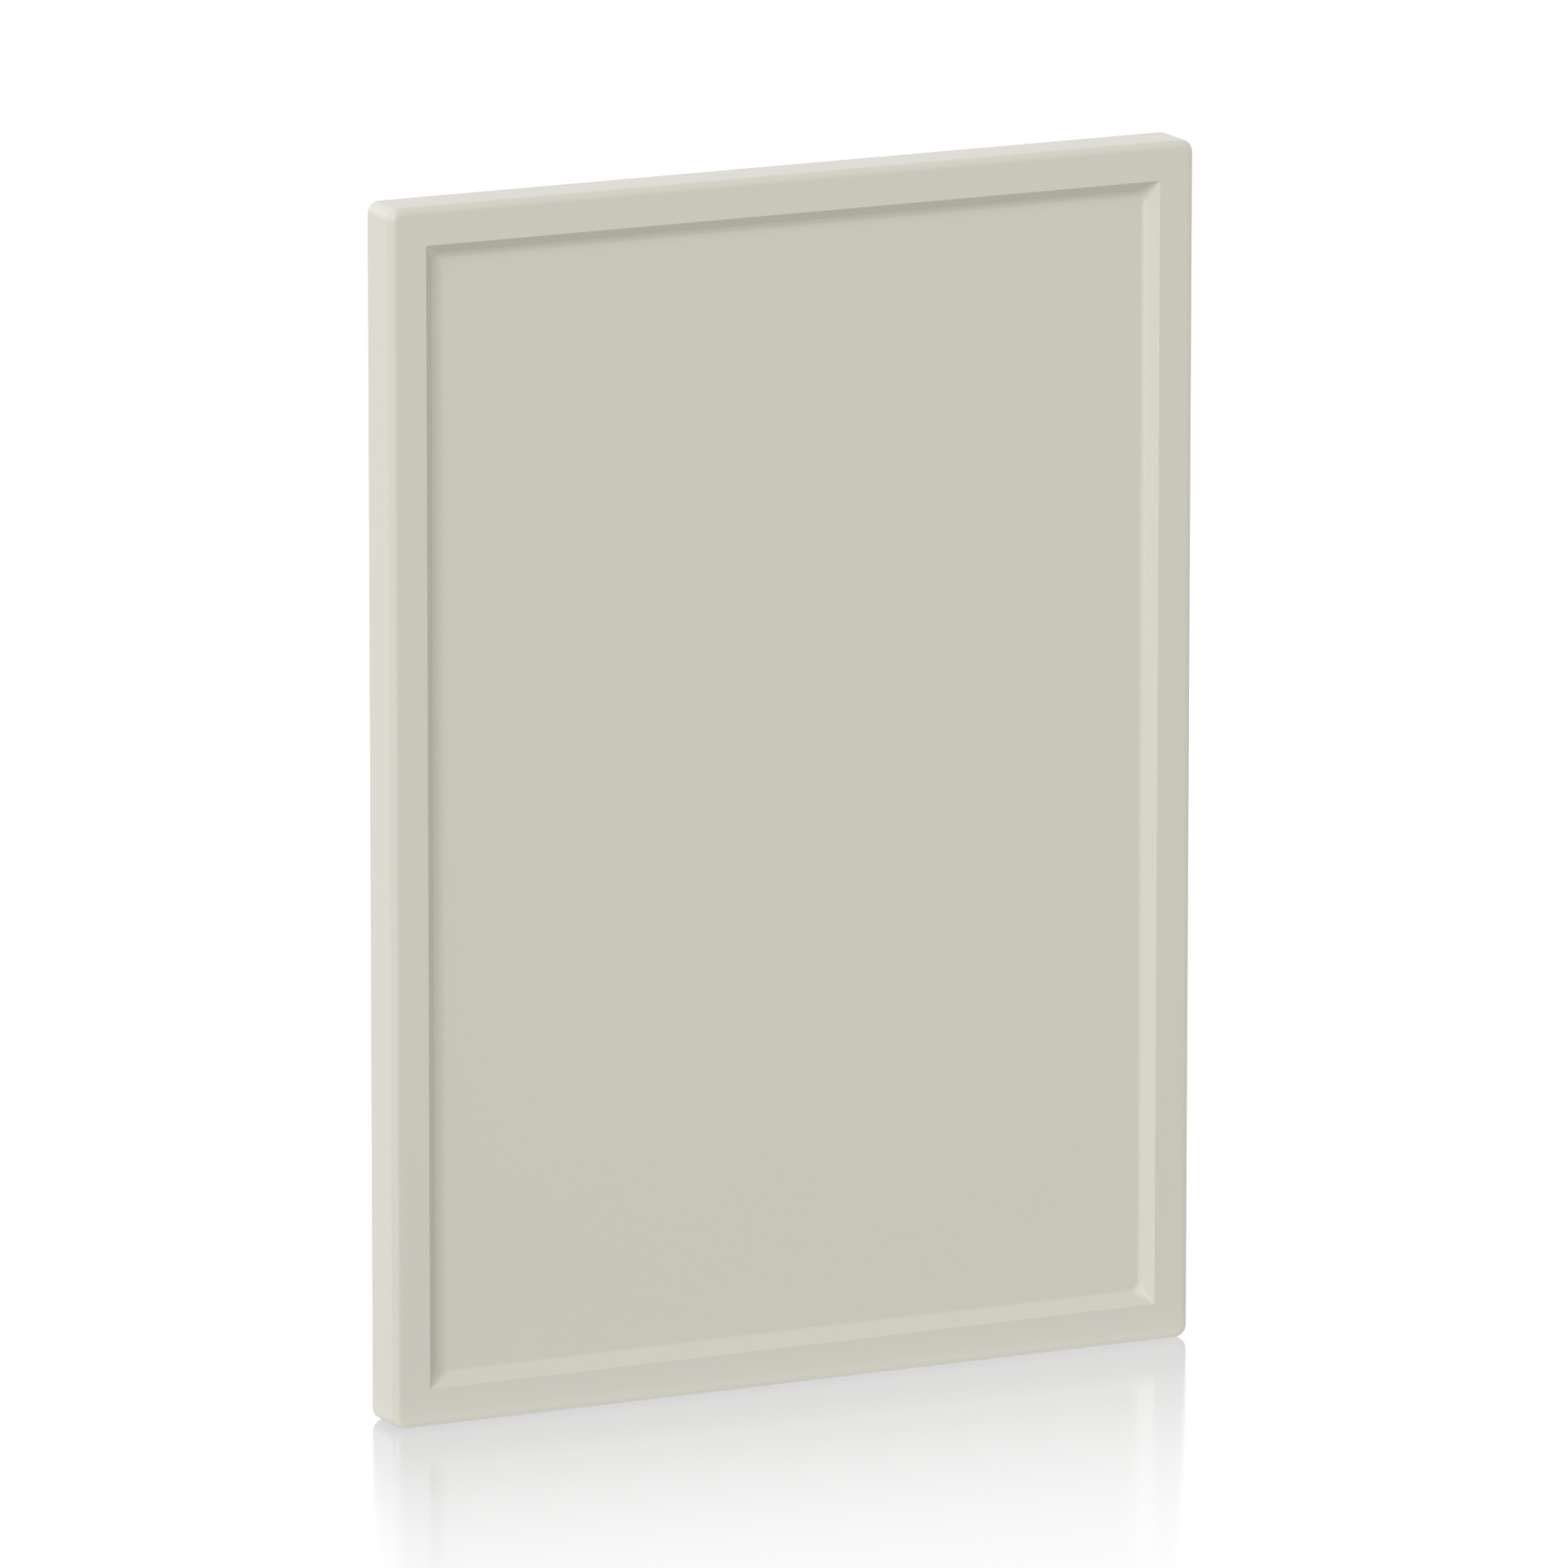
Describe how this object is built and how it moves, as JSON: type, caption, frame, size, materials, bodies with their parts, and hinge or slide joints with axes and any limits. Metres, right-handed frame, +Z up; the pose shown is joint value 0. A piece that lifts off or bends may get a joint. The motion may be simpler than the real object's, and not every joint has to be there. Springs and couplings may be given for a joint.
{
  "type": "kitchen cabinet door",
  "caption": "Rectangular kitchen cabinet door with a slim raised frame, a bevelled and coved recess and a flat panel, drilled on the back for cup hinges.",
  "frame": {"origin": "middle of the bottom edge, halfway through the board's thickness", "axes": "+Z up along the door's height, +X to the right as seen from the front, +Y to the back; the recessed front faces -Y"},
  "size_m": [0.356, 0.022, 0.496],
  "materials": {
    "lacquered_board": "satin"
  },
  "bodies": {
    "root": {"door_panel": "lacquered_board"}
  },
  "joints": []
}
